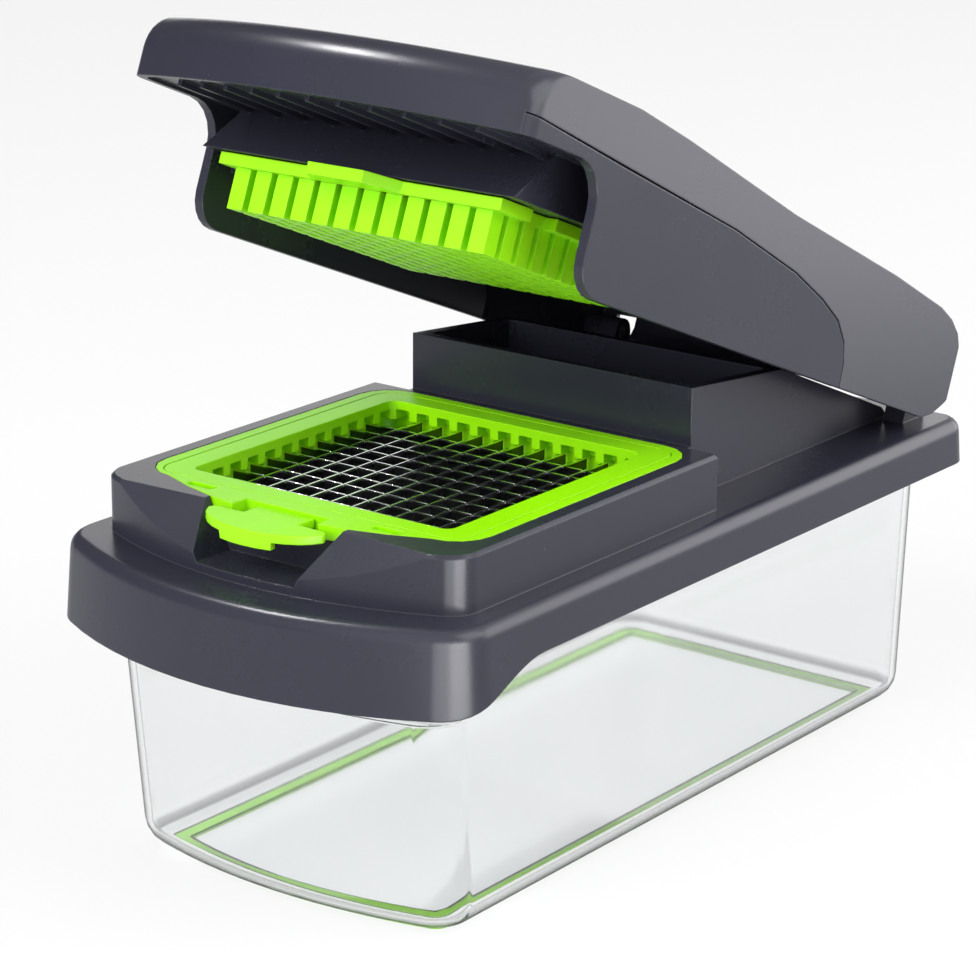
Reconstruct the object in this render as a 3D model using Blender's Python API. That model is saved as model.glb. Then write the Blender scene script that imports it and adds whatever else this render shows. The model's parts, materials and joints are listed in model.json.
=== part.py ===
"""Press-lid vegetable chopper: a clear box, a base with a blade bed, and a hinged lid with a toothed pusher.

Metres, +Z up. X runs across the chopper, -Y is its front (the handle and latch side), and Z = 0 is the table.
The origin is under the middle of the footprint. The lid is modelled closed and then turned about its hinge.
"""

import math

import bmesh
import bpy
from mathutils import Matrix, Vector

# Plastic walls and the gap kept between pieces that touch
WALL = 0.0022
GAP = 0.0003

# Base: the skirt that laps over the box, its deck, and the raised bed round the blades
DECK_Z = 0.0803
SKIRT_HALF_WIDTH = 0.0610
BASE_FRONT = -0.1192
BASE_REAR = 0.1192
SKIRT_BOW = 0.1120
SKIRT_CORNER = 0.0150
SKIRT_REAR_CORNER = 0.0080
SKIRT_DRAFT = 0.0012
SHOULDER_DROP = 0.0036
SHOULDER_RUN = 0.0032
SKIRT_FRONT_DEPTH = 0.0202
SKIRT_SIDE_DEPTH = 0.0116
SKIRT_SWEEP_FRONT = -0.1042
SKIRT_SWEEP_REAR = -0.0732
BED_RISE = 0.0138
BED_HALF_WIDTH = 0.0528
BED_FRONT = -0.1057
BED_REAR = 0.0078
BED_BOW = 0.1150
BED_CORNER = 0.0080
BED_REAR_CORNER = 0.0010
BED_EDGE = 0.0008

# Finger recess under the latch, and the two facets that fall towards it
RECESS_HALF_TOP = 0.0203
RECESS_HALF_FOOT = 0.0143
RECESS_RISE = 0.0021
RECESS_UNDERCUT = 0.0021
FACET_SLOPE = 0.93
FACET_CREST_Y = -0.0946
FACET_OUTER_Y = -0.0959
FACET_OUTER_X = 0.0470
DROP_MARGIN = 0.0030

# Storage pocket and the wedge that falls away behind it
WEDGE_HALF_WIDTH = 0.0426
WEDGE_FRONT = 0.0107
POCKET_RISE = 0.0277
POCKET_REAR_RISE = 0.0239
POCKET_LENGTH = 0.0345
POCKET_WALL = 0.0030
POCKET_FLOOR = 0.0024
WEDGE_REAR = 0.1018
WEDGE_REAR_RISE = 0.0029
WEDGE_FOOT = 0.0040

# Box, with a lip at the front of its rim and a round bottom edge
BOX_TOP_HALF_WIDTH = 0.0500
BOX_FOOT_HALF_WIDTH = 0.0480
BOX_TOP_FRONT = -0.1054
BOX_FOOT_FRONT = -0.0982
BOX_TOP_REAR = 0.1150
BOX_FOOT_REAR = 0.1140
BOX_BOW = 0.1500
BOX_CORNER = 0.0110
BOX_WALL = 0.0020
BOX_FOOT_ROUND = 0.0072
BOX_LIP_REACH = 0.0075
BOX_LIP_DEPTH = 0.0263
BOX_LIP_HEIGHT = 0.0062
RIM_RIB_DEPTH = 0.0060
RIM_RIB_GAP = 0.0004
RING_HEIGHT = 0.0018
RING_PROUD = 0.0010
RING_WIDTH = 0.0036
RING_INSET = 0.0072

# Blade grid: the dice size, and the frame and clamp ring that hold the blades
DICE = 0.00635
CELLS = 12
BLADE_THICKNESS = 0.0005
BLADE_HEIGHT = 0.0050
BLADE_DEPTH = 0.0051
BLADE_PLAY = 0.00015
WELL_CENTRE_Y = -0.0412
WELL_CORNER = 0.0024
BLADE_SEAT = 0.0036
CLAMP_RAIL = 0.0065
CLAMP_FRONT_RAIL = 0.0052
CLAMP_REAR_RAIL = 0.0056
CLAMP_CORNER = 0.0048
CLAMP_SKIRT = 0.0012
FRAME_RAIL = 0.0034
FRAME_FRONT_RAIL = 0.0020
FRAME_REAR_RAIL = 0.0031
FRAME_CORNER = 0.0094
CROWN_RISE = 0.0085
CROWN_THICKNESS = 0.0034
CLAMP_POST_WIDTH = 0.0025
CLAMP_POST_HEIGHT = 0.0025
WINDOW_X = 0.0272
WINDOW_SETBACK = 0.0040
WINDOW_LENGTH = 0.0080
WINDOW_WIDTH = 0.0026
WINDOW_DEPTH = 0.0025

# Latch tab in front of the frame
NOTCH_HALF_WIDTH = 0.0125
NOTCH_DEPTH = 0.0057
TAB_HALF_WIDTH = 0.0173
TAB_REACH = 0.0100
TAB_CORNER = 0.0020
TAB_THICKNESS = 0.0022
TAB_LIP_HALF_WIDTH = 0.0090
TAB_LIP_DROP = 0.0040
TAB_LIP_WALL = 0.0020
TAB_DROP = 0.0007
TAB_SHOULDER = 0.0005
NECK_HALF_WIDTH = 0.0080

# Hinge
HINGE_Y = 0.1074
HINGE_RISE = 0.0083
PIN_RADIUS = 0.0015
PIN_LENGTH = 0.0105
EAR_RADIUS = 0.0036
EAR_INNER_X = 0.0440
EAR_WIDTH = 0.0060
EAR_GUSSET = 0.0040
EAR_SHOULDER_ANGLE = math.radians(150)

# Lid, in its closed place: side outlines as (y, height above the deck)
LID_OPEN = math.radians(21.94)
LID_HALF_WIDTH = 0.0566
LID_FRONT = -0.1107
LID_REAR = 0.1138
LID_BOW = 0.1500
LID_CORNER = 0.0065
LID_REAR_CORNER = 0.0024
LID_WALL = 0.0018
CHEEK_WALL = 0.0025
HANDLE_FOOT_RISE = 0.0287
LID_TOP = [(-0.1002, 0.0443), (-0.0592, 0.0440), (-0.0372, 0.0421), (0.0158, 0.0361), (0.0708, 0.0321)]
LID_BACK = [
    (0.0979, 0.0291),
    (0.1048, 0.0272),
    (0.1098, 0.0243),
    (0.1125, 0.0205),
    (0.1138, 0.0152),
    (0.1138, 0.0099),
    (0.1126, 0.0072),
    (0.1103, 0.0053),
    (0.1060, 0.0022),
]
LID_BACK_CENTRE = (0.0998, 0.0142)
LID_FOOT_REAR = 0.1010
LID_BACK_CUT_DROP = 0.0026
BACK_CUT_REACH = 0.0120
EAR_SLOT_RISE = 0.0049
SEAM = [
    (-0.0997, 0.0335),
    (-0.0609, 0.0306),
    (-0.0096, 0.0272),
    (0.0217, 0.0231),
    (0.0372, 0.0194),
    (0.0468, 0.0160),
    (0.0522, 0.0114),
    (0.0544, 0.0063),
    (0.0549, 0.0003),
]
CHEEK_FRONT = -0.0680
CHEEK_FLARE = 0.0100
CHEEK_TOE = 0.0080
ROLL_RADIUS = 0.0090
CEILING_RISE = 0.0295
CEILING_REAR = 0.0388
INNER_WALL = 0.0019
INNER_WALL_RISE = 0.0009
SEAT_HALF_WIDTH = 0.0450
SEAT_FRONT = 0.0036
SEAT_REAR = 0.0048
SEAT_WALL = 0.0020
HANDLE_RIBS = 11
HANDLE_RIB_PITCH = 0.0085
HANDLE_RIB_WIDTH = 0.0010
HANDLE_RIB_DEPTH = 0.0016
HANDLE_RIB_SETBACK = 0.0060

# Pusher
TOOTH_SLOT = 0.0018
TOOTH_LENGTH = 0.0098
FLANGE_THICKNESS = 0.0028
FLANGE_SIDE = 0.0035
FLANGE_FRONT = 0.0024
PULL_HALF_WIDTH = 0.0080
PULL_SLOPE = 0.0050
PULL_REACH = 0.0085
EAR_NOTCH_START = 0.0100
EAR_NOTCH_LENGTH = 0.0100
STUD_RADIUS = 0.0020
STUD_HEIGHT = 0.0016
STUD_X = 0.0350
STUD_Y = 0.0300

# Finish of the meshes
SHARP_ANGLE = math.radians(32)
SMALLEST_CORNER = 0.0005
CORNER_STEPS = 7
BOW_STEPS = 14
ROLL_STEPS = 8

# Places that follow from the sizes above
SKIRT_FRONT_Z = DECK_Z - SKIRT_FRONT_DEPTH
SKIRT_SIDE_Z = DECK_Z - SKIRT_SIDE_DEPTH
BED_TOP_Z = DECK_Z + BED_RISE
RECESS_FLOOR_Z = DECK_Z + RECESS_RISE
POCKET_RIM_Z = DECK_Z + POCKET_RISE
POCKET_REAR_Z = DECK_Z + POCKET_REAR_RISE
WEDGE_REAR_Z = DECK_Z + WEDGE_REAR_RISE
HINGE_Z = DECK_Z + HINGE_RISE
LID_FOOT_Z = DECK_Z + GAP
HANDLE_FOOT_Z = DECK_Z + HANDLE_FOOT_RISE
LID_TOP_Z = DECK_Z + LID_TOP[0][1]
CEILING_Z = DECK_Z + CEILING_RISE
WELL_HALF = CELLS * DICE / 2
WELL_FRONT = WELL_CENTRE_Y - WELL_HALF
WELL_REAR = WELL_CENTRE_Y + WELL_HALF
CLAMP_HALF = WELL_HALF + CLAMP_RAIL
CLAMP_FRONT = WELL_FRONT - CLAMP_FRONT_RAIL
CLAMP_REAR = WELL_REAR + CLAMP_REAR_RAIL
FRAME_HALF = CLAMP_HALF + FRAME_RAIL
FRAME_FRONT = CLAMP_FRONT - FRAME_FRONT_RAIL
FRAME_REAR = CLAMP_REAR + FRAME_REAR_RAIL
BLADE_TOP_Z = BED_TOP_Z - BLADE_DEPTH
BLADE_FOOT_Z = BLADE_TOP_Z - BLADE_HEIGHT
CROWN_FOOT_Z = BED_TOP_Z - CROWN_THICKNESS
FRAME_FOOT_Z = DECK_Z + GAP
TOOTH_ROOT_Z = BED_TOP_Z + GAP
TOOTH_TIP_Z = TOOTH_ROOT_Z - TOOTH_LENGTH
SEAT_Z = TOOTH_ROOT_Z + FLANGE_THICKNESS + GAP
CROWN_FRONT = FRAME_FRONT - CROWN_RISE
NOTCH_REAR = CROWN_FRONT + NOTCH_DEPTH
TAB_TOP_Z = BED_TOP_Z - TAB_DROP
BOX_FOOT_Z = RING_PROUD
BOX_RIM_Z = DECK_Z - WALL - GAP
BOX_LIP_Z = DECK_Z - BOX_LIP_DEPTH
BLADE_PLACES = [(i - (CELLS - 2) / 2) * DICE for i in range(CELLS - 1)]


def material(name, colour, roughness, metallic=0.0, transmission=0.0):
    """A plain finish for one kind of piece."""
    made = bpy.data.materials.new(name)
    made.use_nodes = True
    shader = made.node_tree.nodes["Principled BSDF"]
    shader.inputs["Base Color"].default_value = (*colour, 1.0)
    shader.inputs["Roughness"].default_value = roughness
    shader.inputs["Metallic"].default_value = metallic
    shader.inputs["Transmission Weight"].default_value = transmission
    return made


def add_object(name, mesh_data, finish=None):
    """Puts a bmesh into the scene as an object whose faces point out."""
    bmesh.ops.recalc_face_normals(mesh_data, faces=mesh_data.faces)
    mesh = bpy.data.meshes.new(name)
    mesh_data.to_mesh(mesh)
    mesh_data.free()
    made = bpy.data.objects.new(name, mesh)
    bpy.context.scene.collection.objects.link(made)
    if finish:
        mesh.materials.append(finish)
        mesh.shade_smooth()
        mesh.set_sharp_from_angle(angle=SHARP_ANGLE)
    else:
        made.hide_render = True
        made.display_type = "WIRE"
    return made


def loft(name, rings, finish=None):
    """A solid through rings of points, each ring with as many points as the next, closed by flat ends."""
    made = bmesh.new()
    loops = [[made.verts.new(point) for point in ring] for ring in rings]
    count = len(rings[0])
    for low, high in zip(loops, loops[1:]):
        for i in range(count):
            j = (i + 1) % count
            made.faces.new((low[i], low[j], high[j], high[i]))
    made.faces.new(loops[0][::-1])
    made.faces.new(loops[-1])
    return add_object(name, made, finish)


def across(name, side_outline, half_width, finish=None, centre_x=0.0):
    """A solid with a Y-Z outline, running across X."""
    rings = [[Vector((centre_x + x, y, z)) for y, z in side_outline] for x in (-half_width, half_width)]
    return loft(name, rings, finish)


def upright(name, plan_outline, low, high, finish=None):
    """A solid with an X-Y outline, standing between two heights."""
    return loft(name, [[Vector((x, y, z)) for x, y in plan_outline] for z in (low, high)], finish)


def box(name, left, right, front, rear, foot, top):
    """A block between its six faces."""
    return upright(name, [(left, front), (right, front), (right, rear), (left, rear)], foot, top)


def rod(name, length, centre_x, radius, finish=None):
    """A round bar along the hinge line."""
    sides = 16
    turns = [math.tau * (i + 0.5) / sides for i in range(sides)]
    outline = [(HINGE_Y + radius * math.cos(a), HINGE_Z + radius * math.sin(a)) for a in turns]
    return across(name, outline, length / 2, finish, centre_x)


def boolean(target, operation, other):
    """Adds an exact Boolean and hides the shape that it uses."""
    step = target.modifiers.new(operation.lower() + "_" + other.name, "BOOLEAN")
    step.operation = operation
    step.object = other
    step.solver = "EXACT"
    other.hide_render = True
    other.display_type = "WIRE"


def cut(target, *others):
    """Takes shapes out of a piece."""
    for other in others:
        boolean(target, "DIFFERENCE", other)


def join(target, *others):
    """Adds shapes to a piece."""
    for other in others:
        boolean(target, "UNION", other)


def arc(centre, radius, start, end, steps):
    """Points of an arc, angles in radians, both ends included."""
    turns = [start + (end - start) * i / steps for i in range(steps + 1)]
    return [(centre[0] + radius * math.cos(a), centre[1] + radius * math.sin(a)) for a in turns]


def bowed_plan(half_width, front, rear, bow, front_corner, rear_corner, inset=0.0):
    """Outline from above, anticlockwise: flat rear, straight sides, round corners and a bowed front."""
    half_width, front, rear, bow = half_width - inset, front + inset, rear - inset, bow - inset
    front_corner = max(front_corner - inset, SMALLEST_CORNER)
    rear_corner = max(rear_corner - inset, SMALLEST_CORNER)
    reach = half_width - front_corner
    corner_y = front + bow - math.sqrt((bow - front_corner) ** 2 - reach**2)
    turn = math.asin(reach / (bow - front_corner))
    down = -math.pi / 2
    rear_x, rear_y = half_width - rear_corner, rear - rear_corner
    outline = arc((rear_x, rear_y), rear_corner, 0, math.pi / 2, CORNER_STEPS)
    outline += arc((-rear_x, rear_y), rear_corner, math.pi / 2, math.pi, CORNER_STEPS)
    outline += arc((-reach, corner_y), front_corner, math.pi, math.pi * 1.5 - turn, CORNER_STEPS)
    outline += arc((0, front + bow), bow, down - turn, down + turn, BOW_STEPS)[1:-1]
    outline += arc((reach, corner_y), front_corner, down + turn, 0, CORNER_STEPS)
    return outline


def rounded_rectangle(half_width, front, rear, corner, inset=0.0, steps=4):
    """Outline from above of a rectangle with round corners, anticlockwise."""
    half_width, front, rear = half_width - inset, front + inset, rear - inset
    corner = max(corner - inset, SMALLEST_CORNER)
    reach = half_width - corner
    outline = arc((reach, rear - corner), corner, 0, math.pi / 2, steps)
    outline += arc((-reach, rear - corner), corner, math.pi / 2, math.pi, steps)
    outline += arc((-reach, front + corner), corner, math.pi, math.pi * 1.5, steps)
    outline += arc((reach, front + corner), corner, math.pi * 1.5, math.tau, steps)
    return outline


def at_height(outline, z):
    """An outline from above, lifted to a height."""
    return [Vector((x, y, z)) for x, y in outline]


def skirt_plan(inset=0.0):
    """The skirt's outline at its lower edge."""
    corners = (SKIRT_CORNER, SKIRT_REAR_CORNER)
    return bowed_plan(SKIRT_HALF_WIDTH, BASE_FRONT, BASE_REAR, SKIRT_BOW, *corners, inset)


def bed_plan(inset=0.0):
    """The raised bed's outline."""
    return bowed_plan(BED_HALF_WIDTH, BED_FRONT, BED_REAR, BED_BOW, BED_CORNER, BED_REAR_CORNER, inset)


def box_plan(rise, inset=0.0):
    """The box's outline at a share of its height, 0 at the foot and 1 at the rim, with the front lip."""
    half_width = BOX_FOOT_HALF_WIDTH + (BOX_TOP_HALF_WIDTH - BOX_FOOT_HALF_WIDTH) * rise
    above_lip = BOX_FOOT_Z + (BOX_RIM_Z - BOX_FOOT_Z) * rise - BOX_LIP_Z
    lip = math.sin(math.pi / 2 * min(max(above_lip / BOX_LIP_HEIGHT, 0.0), 1.0))
    front = BOX_FOOT_FRONT + (BOX_TOP_FRONT - BOX_FOOT_FRONT) * rise - BOX_LIP_REACH * lip
    rear = BOX_FOOT_REAR + (BOX_TOP_REAR - BOX_FOOT_REAR) * rise
    return bowed_plan(half_width, front, rear, BOX_BOW, BOX_CORNER, BOX_CORNER, inset)


def lid_plan(inset=0.0):
    """The lid's outline from above."""
    return bowed_plan(LID_HALF_WIDTH, LID_FRONT, LID_REAR, LID_BOW, LID_CORNER, LID_REAR_CORNER, inset)


def frame_body_plan(grow=0.0):
    """The outline of the blade frame below its crown."""
    return rounded_rectangle(FRAME_HALF, FRAME_FRONT, FRAME_REAR, FRAME_CORNER, -grow)


def frame_plan(grow=0.0):
    """The blade frame's outline at its top: a rounded rectangle whose front swells into a crown."""
    half_width, rear, corner = FRAME_HALF + grow, FRAME_REAR + grow, FRAME_CORNER + grow
    front = FRAME_FRONT - grow
    reach = half_width - corner
    bow = (reach**2 + CROWN_RISE**2) / (2 * CROWN_RISE)
    turn = math.asin(reach / bow)
    down = -math.pi / 2
    outline = arc((reach, rear - corner), corner, 0, math.pi / 2, 4)
    outline += arc((-reach, rear - corner), corner, math.pi / 2, math.pi, 4)
    outline += arc((-reach, front + corner), corner, math.pi, math.pi * 1.5, 4)
    outline += arc((0, front - CROWN_RISE + bow), bow, down - turn, down + turn, 8)[1:-1]
    outline += arc((reach, front + corner), corner, math.pi * 1.5, math.tau, 4)
    return outline


def clamp_plan(grow=0.0):
    """The clamp ring's outline."""
    return rounded_rectangle(CLAMP_HALF, CLAMP_FRONT, CLAMP_REAR, CLAMP_CORNER, -grow)


def sweep_height(y):
    """Height of the skirt's lower edge: deep in front, shallow along the sides, with a smooth sweep."""
    share = (y - SKIRT_SWEEP_FRONT) / (SKIRT_SWEEP_REAR - SKIRT_SWEEP_FRONT)
    share = min(max(share, 0.0), 1.0)
    return SKIRT_FRONT_Z + (SKIRT_SIDE_Z - SKIRT_FRONT_Z) * share * share * (3 - 2 * share)


def box_rings(inset, foot_z, radius, top_z):
    """Rings up one face of the box's wall: round the bottom edge, over the lip and on to a height."""
    height = BOX_RIM_Z - BOX_FOOT_Z
    rings = []
    round_steps = 5
    for step in range(round_steps + 1):
        angle = math.pi / 2 * step / round_steps
        z = foot_z + radius * (1 - math.cos(angle))
        shift = inset + radius * (1 - math.sin(angle))
        rings.append(at_height(box_plan((z - BOX_FOOT_Z) / height, shift), z))
    lip_steps = 5
    for z in [BOX_LIP_Z + BOX_LIP_HEIGHT * step / lip_steps for step in range(lip_steps + 1)] + [top_z]:
        rings.append(at_height(box_plan((z - BOX_FOOT_Z) / height, inset), z))
    return rings


def build_box(clear, rubber):
    """The clear box, open at the top, and the non-slip ring set into a groove in its underside."""
    container = loft("container", box_rings(0, BOX_FOOT_Z, BOX_FOOT_ROUND, BOX_RIM_Z), clear)
    inner_round = BOX_FOOT_ROUND - BOX_WALL
    hollow = box_rings(BOX_WALL, BOX_FOOT_Z + BOX_WALL, inner_round, BOX_RIM_Z + BOX_WALL)
    groove_top = RING_HEIGHT + GAP
    groove = upright("ring_groove", box_plan(0, RING_INSET - GAP), 0, groove_top)
    core = upright("groove_core", box_plan(0, RING_INSET + RING_WIDTH + GAP), -GAP, groove_top + GAP)
    cut(groove, core)
    cut(container, loft("box_hollow", hollow), groove)
    ring = upright("non_slip_ring", box_plan(0, RING_INSET), 0, RING_HEIGHT, rubber)
    cut(ring, upright("ring_hollow", box_plan(0, RING_INSET + RING_WIDTH), -RING_HEIGHT, 2 * RING_HEIGHT))


def skirt_rings(depth=0.0):
    """Outlines that rise from the skirt's foot over its round shoulder, at a depth under its skin."""
    shoulder_z = DECK_Z - SHOULDER_DROP - depth
    foot = at_height(skirt_plan(depth), SKIRT_FRONT_Z)
    rings = [foot, at_height(skirt_plan(SKIRT_DRAFT + depth), shoulder_z)]
    shoulder_steps = 5
    for step in range(1, shoulder_steps + 1):
        angle = math.pi / 2 * step / shoulder_steps
        inset = SKIRT_DRAFT + SHOULDER_RUN * (1 - math.cos(angle)) + depth
        rings.append(at_height(skirt_plan(inset), shoulder_z + SHOULDER_DROP * math.sin(angle)))
    return rings


def build_skirt(slate):
    """The skirt with its round shoulder and swept lower edge, and the rib inside that locates the box."""
    base = loft("base", skirt_rings(), slate)
    below = SKIRT_FRONT_Z - WALL
    void = [at_height(skirt_plan(WALL), below), at_height(skirt_plan(WALL + SKIRT_DRAFT), DECK_Z - WALL)]
    cut(base, loft("skirt_void", void))
    rib_foot = BOX_RIM_Z - RIM_RIB_DEPTH
    rib = upright("rim_rib", box_plan(1.0, -RIM_RIB_GAP - WALL), rib_foot, DECK_Z)
    boolean(rib, "INTERSECT", loft("rim_rib_limit", skirt_rings(WALL / 2)))
    cut(rib, upright("rim_rib_void", box_plan(1.0, -RIM_RIB_GAP), rib_foot - WALL, DECK_Z - WALL))
    join(base, rib)
    steps = 12
    span = SKIRT_SWEEP_REAR - SKIRT_SWEEP_FRONT
    sweep = [SKIRT_SWEEP_FRONT + span * step / steps for step in range(steps + 1)]
    front, rear = BASE_FRONT - WALL, BASE_REAR + WALL
    outline = [(front, below - WALL), (rear, below - WALL), (rear, SKIRT_SIDE_Z)]
    outline += [(y, sweep_height(y)) for y in sweep[::-1]]
    outline.append((front, SKIRT_FRONT_Z))
    cut(base, across("skirt_sweep", outline, SKIRT_HALF_WIDTH + WALL))
    return base


def add_bed(base):
    """The raised bed round the blades: the frame's pocket, the food's drop and the finger recess."""
    sunk = DECK_Z - WALL / 2
    over = BED_TOP_Z + WALL
    bed_rings = [
        at_height(bed_plan(), sunk),
        at_height(bed_plan(), BED_TOP_Z - BED_EDGE),
        at_height(bed_plan(BED_EDGE), BED_TOP_Z),
    ]
    join(base, loft("bed_block", bed_rings))
    cut(base, upright("frame_pocket", frame_body_plan(GAP), DECK_Z, over))
    cut(base, upright("crown_pocket", frame_plan(GAP), CROWN_FOOT_Z - GAP, over))
    drop = rounded_rectangle(WELL_HALF + GAP, WELL_FRONT - GAP, WELL_REAR + GAP, WELL_CORNER, -DROP_MARGIN)
    cut(base, upright("food_drop", drop, DECK_Z - 2 * WALL, DECK_Z + WALL))
    recess_rear = CROWN_FRONT + RECESS_UNDERCUT
    front = BED_FRONT - WALL
    spread = (RECESS_HALF_TOP - RECESS_HALF_FOOT) * (over - RECESS_FLOOR_Z) / (BED_TOP_Z - RECESS_FLOOR_Z)
    rings = []
    for z, half in ((RECESS_FLOOR_Z, RECESS_HALF_FOOT), (over, RECESS_HALF_FOOT + spread)):
        rings.append(at_height([(-half, front), (half, front), (half, recess_rear), (-half, recess_rear)], z))
    cut(base, loft("finger_recess", rings), facet_cutter(-1), facet_cutter(1))


def facet_cutter(side):
    """The air above one facet of the bed's front, which falls from the crown towards the recess."""
    inner_x, outer_x = RECESS_HALF_FOOT, BED_HALF_WIDTH + WALL
    skew = (FACET_OUTER_Y - FACET_CREST_Y) / (FACET_OUTER_X - RECESS_HALF_TOP)
    front_y = BED_FRONT - WALL
    low, high = [], []
    for x, behind in ((inner_x, 0), (outer_x, 0), (outer_x, 1), (inner_x, 1)):
        crest = FACET_CREST_Y + skew * (x - RECESS_HALF_TOP)
        y = crest + WALL / 2 if behind else front_y
        low.append(Vector((side * x, y, BED_TOP_Z + FACET_SLOPE * (y - crest))))
        high.append(Vector((side * x, y, BED_TOP_Z + 2 * WALL)))
    return loft("facet_cutter_left" if side < 0 else "facet_cutter_right", [low, high])


def add_pocket(base):
    """The block behind the bed: an open storage pocket in front and a hollow wedge behind it."""
    sunk = DECK_Z - WALL / 2
    pocket_rear = WEDGE_FRONT + POCKET_LENGTH + 2 * POCKET_WALL
    outline = [
        (BED_REAR - WALL, sunk),
        (WEDGE_REAR + WEDGE_FOOT, sunk),
        (WEDGE_REAR, WEDGE_REAR_Z),
        (pocket_rear, POCKET_REAR_Z),
        (WEDGE_FRONT, POCKET_RIM_Z),
        (WEDGE_FRONT, BED_TOP_Z - BED_EDGE),
        (BED_REAR - WALL, BED_TOP_Z - BED_EDGE),
    ]
    join(base, across("wedge_block", outline, WEDGE_HALF_WIDTH))
    inner_x = WEDGE_HALF_WIDTH - POCKET_WALL
    front = WEDGE_FRONT + POCKET_WALL
    plan = rounded_rectangle(inner_x, front, front + POCKET_LENGTH, POCKET_WALL / 2, 0, 2)
    cut(base, upright("storage_pocket", plan, DECK_Z + POCKET_FLOOR, POCKET_RIM_Z + WALL))
    slope = (POCKET_REAR_Z - WEDGE_REAR_Z) / (WEDGE_REAR - pocket_rear)
    rear = WEDGE_REAR - POCKET_WALL
    skin = WALL * math.sqrt(1 + slope**2)
    outline = [
        (pocket_rear, DECK_Z - 2 * WALL),
        (rear, DECK_Z - 2 * WALL),
        (rear, WEDGE_REAR_Z + slope * POCKET_WALL - skin),
        (pocket_rear, POCKET_REAR_Z - skin),
    ]
    cut(base, across("wedge_hollow", outline, inner_x))


def add_ears(base):
    """Two hinge ears on the deck, each bored for its pin."""
    for side, name in ((-1, "left"), (1, "right")):
        foot = DECK_Z - WALL / 2
        outline = [(HINGE_Y - EAR_RADIUS - EAR_GUSSET, foot), (HINGE_Y + EAR_RADIUS, foot)]
        outline += arc((HINGE_Y, HINGE_Z), EAR_RADIUS, 0, EAR_SHOULDER_ANGLE, 6)
        centre = side * (EAR_INNER_X + EAR_WIDTH / 2)
        ear = across("ear_" + name, outline, EAR_WIDTH / 2, None, centre)
        bore = rod("ear_bore_" + name, EAR_WIDTH + 2 * WALL, centre, PIN_RADIUS + GAP)
        join(base, ear)
        cut(base, bore)


def build_blade_holder(lime):
    """The lime frame with its thin crown, and the clamp ring whose posts hold the blades down."""
    over = BED_TOP_Z + WALL
    frame = upright("blade_frame", frame_plan(), CROWN_FOOT_Z, BED_TOP_Z, lime)
    join(frame, upright("frame_body", frame_body_plan(), FRAME_FOOT_Z, BED_TOP_Z - CROWN_THICKNESS / 2))
    well = rounded_rectangle(WELL_HALF, WELL_FRONT, WELL_REAR, WELL_CORNER, -GAP)
    notch_front = CROWN_FRONT - WALL
    notch = box("tab_notch", -NOTCH_HALF_WIDTH, NOTCH_HALF_WIDTH, notch_front, NOTCH_REAR, DECK_Z, over)
    cut(frame, upright("clamp_seat", clamp_plan(GAP), BLADE_FOOT_Z - GAP, over))
    cut(frame, upright("frame_well", well, DECK_Z, BLADE_FOOT_Z), notch)
    window_y = CROWN_FRONT + CROWN_RISE - WINDOW_SETBACK + WINDOW_WIDTH
    for side, name in ((-1, "left"), (1, "right")):
        half_width = WINDOW_WIDTH / 2
        plan = rounded_rectangle(WINDOW_LENGTH / 2, -half_width, half_width, WINDOW_WIDTH / 3, 0, 2)
        moved = [(x + side * WINDOW_X, y + window_y) for x, y in plan]
        cut(frame, upright("window_" + name, moved, BED_TOP_Z - WINDOW_DEPTH, over))

    clamp = upright("blade_clamp_ring", clamp_plan(), BLADE_FOOT_Z, BED_TOP_Z, lime)
    opening = rounded_rectangle(WELL_HALF, WELL_FRONT, WELL_REAR, WELL_CORNER)
    under = upright("clamp_under", clamp_plan(-CLAMP_SKIRT), BLADE_FOOT_Z - WALL, BLADE_TOP_Z + GAP)
    cut(clamp, upright("clamp_opening", opening, BLADE_FOOT_Z - WALL, over), under)
    half_notch = (DICE - CLAMP_POST_WIDTH) / 2
    notch_top = BLADE_TOP_Z + GAP + CLAMP_POST_HEIGHT
    reach = WELL_HALF + BLADE_SEAT
    for i in range(CELLS):
        place = (i - (CELLS - 1) / 2) * DICE
        low, high = place - half_notch, place + half_notch
        front, rear = WELL_CENTRE_Y - reach, WELL_CENTRE_Y + reach
        cut(clamp, box(f"length_notch_{i + 1:02d}", low, high, front, rear, BLADE_TOP_Z, notch_top))
        low, high = WELL_CENTRE_Y + low, WELL_CENTRE_Y + high
        cut(clamp, box(f"cross_notch_{i + 1:02d}", -reach, reach, low, high, BLADE_TOP_Z, notch_top))


def blade_outline(from_below):
    """One blade seen from its side: a strip with a half-lap notch for each blade that crosses it."""
    half_length = WELL_HALF + BLADE_SEAT
    notch = BLADE_THICKNESS / 2 + BLADE_PLAY
    middle = (BLADE_TOP_Z + BLADE_FOOT_Z) / 2
    if from_below:
        edge, lap, plain = BLADE_FOOT_Z, middle + GAP / 2, BLADE_TOP_Z
    else:
        edge, lap, plain = BLADE_TOP_Z, middle - GAP / 2, BLADE_FOOT_Z
    outline = [(half_length, plain), (-half_length, plain), (-half_length, edge)]
    for place in BLADE_PLACES:
        outline += [(place - notch, edge), (place - notch, lap), (place + notch, lap), (place + notch, edge)]
    outline.append((half_length, edge))
    return outline


def build_blades(steel):
    """Eleven blades each way, half-lapped where they cross."""
    sides = (-BLADE_THICKNESS / 2, BLADE_THICKNESS / 2)
    lengthwise, crosswise = blade_outline(True), blade_outline(False)
    for i, place in enumerate(BLADE_PLACES):
        y = WELL_CENTRE_Y
        rings = [[Vector((place + side, y + along, z)) for along, z in lengthwise] for side in sides]
        loft(f"lengthwise_blade_{i + 1:02d}", rings, steel)
        y = WELL_CENTRE_Y + place
        rings = [[Vector((along, y + side, z)) for along, z in crosswise] for side in sides]
        loft(f"cross_blade_{i + 1:02d}", rings, steel)


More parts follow.
